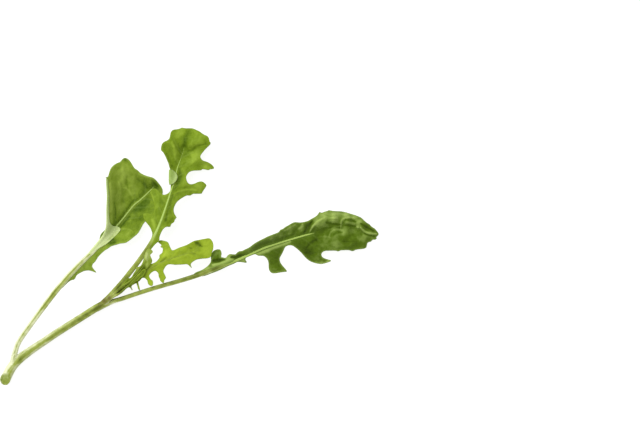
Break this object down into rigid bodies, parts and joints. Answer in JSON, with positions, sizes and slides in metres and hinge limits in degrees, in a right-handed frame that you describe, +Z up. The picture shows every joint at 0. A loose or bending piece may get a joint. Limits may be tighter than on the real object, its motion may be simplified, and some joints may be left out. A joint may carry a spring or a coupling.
{
  "type": "wild arugula sprig",
  "caption": "Cut sprig of wild arugula lying on a surface: a forked stem with lobed, toothed leaves, one rolled at its edge, and small leaflets in the fork.",
  "frame": {"origin": "on the surface that the sprig lies on, under the middle of its box", "axes": "+X along the sprig from the cut end of the stem to the tip of the long leaf, +Y towards the leaves' upper side, +Z up off the surface"},
  "size_m": [0.1439, 0.0979, 0.0129],
  "materials": {
    "stem": "satin",
    "leaf": "satin",
    "young_leaf": "satin"
  },
  "bodies": {
    "root": {"stem": "stem", "leaf_lower": "leaf", "leaf_upper": "leaf", "leaf_right": "leaf", "leaf_young": "young_leaf", "leaflet_long": "young_leaf", "leaflet_short": "young_leaf"}
  },
  "joints": []
}
